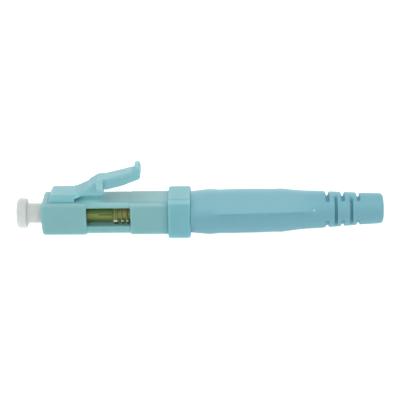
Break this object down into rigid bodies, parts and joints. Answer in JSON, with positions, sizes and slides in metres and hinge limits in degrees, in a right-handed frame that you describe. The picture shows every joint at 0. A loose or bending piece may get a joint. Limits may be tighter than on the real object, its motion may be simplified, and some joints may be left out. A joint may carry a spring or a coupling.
{
  "type": "lc fibre connector",
  "caption": "Field-fitted LC fibre plug: square latched housing with windows over a sprung splice holder, square turning cam collar, tapered strain-relief boot and push-on dust cap.",
  "frame": {"origin": "centre of the plug housing's front face, on the fibre axis", "axes": "+X along the fibre towards the boot, +Z towards the latch, +Y to the latch's left when looking along +X"},
  "size_m": [0.0491, 0.006, 0.01],
  "materials": {
    "housing": "moulded, satin",
    "latch": "moulded, satin",
    "collar": "moulded, satin",
    "boot": "moulded elastomer, matt",
    "cap": "milky, translucent",
    "ferrule": "polished white ceramic",
    "fibre": "polished",
    "holder": "amber, translucent",
    "planks": "amber, translucent",
    "spring": "drawn wire",
    "backbone": "moulded",
    "tube": "drawn, plain",
    "liner": "natural"
  },
  "bodies": {
    "plug": {"plug_housing": "housing", "backbone": "backbone", "crimp_tube": "tube", "lead_in_liner": "liner"},
    "latch": {"latch_lever": "latch"},
    "ferrule_unit": {"ferrule": "ferrule", "fibre_stub": "fibre", "ferrule_holder": "holder", "lower_splice_plank": "planks", "coil_spring": "spring"},
    "clamp_planks": {"upper_splice_plank": "planks", "buffer_plank": "planks"},
    "cap": {"dust_cap": "cap"},
    "cam": {"cam_collar": "collar"},
    "boot": {"boot": "boot"}
  },
  "joints": [
    {"name": "latch_press", "type": "hinge", "parent": "plug", "child": "latch", "pos_m": [0.0045, 0, 0.003], "axis": [0, 1, 0], "range_deg": [0, 13], "stiffness_Nm_per_rad": 0.12},
    {"name": "ferrule_float", "type": "slide", "parent": "plug", "child": "ferrule_unit", "axis": [1, 0, 0], "range_m": [0, 0.001], "stiffness_N_per_m": 2500, "springref_m": -0.0012, "deforming": ["coil_spring"]},
    {"name": "cam_turn", "type": "hinge", "parent": "plug", "child": "cam", "pos_m": [0.0183, 0, 0], "axis": [1, 0, 0], "range_deg": [0, 90]},
    {"name": "splice_clamp", "type": "slide", "parent": "ferrule_unit", "child": "clamp_planks", "axis": [0, 0, -1], "range_m": [0, 0.0002]},
    {"name": "cap_pull", "type": "slide", "parent": "ferrule_unit", "child": "cap", "axis": [-1, 0, 0], "range_m": [0, 0.008]},
    {"name": "boot_pull", "type": "slide", "parent": "plug", "child": "boot", "axis": [1, 0, 0], "range_m": [0, 0.012]}
  ],
  "couplings": [
    {"joint": "splice_clamp", "follows": "cam_turn", "m_per_rad": 0.000127}
  ]
}
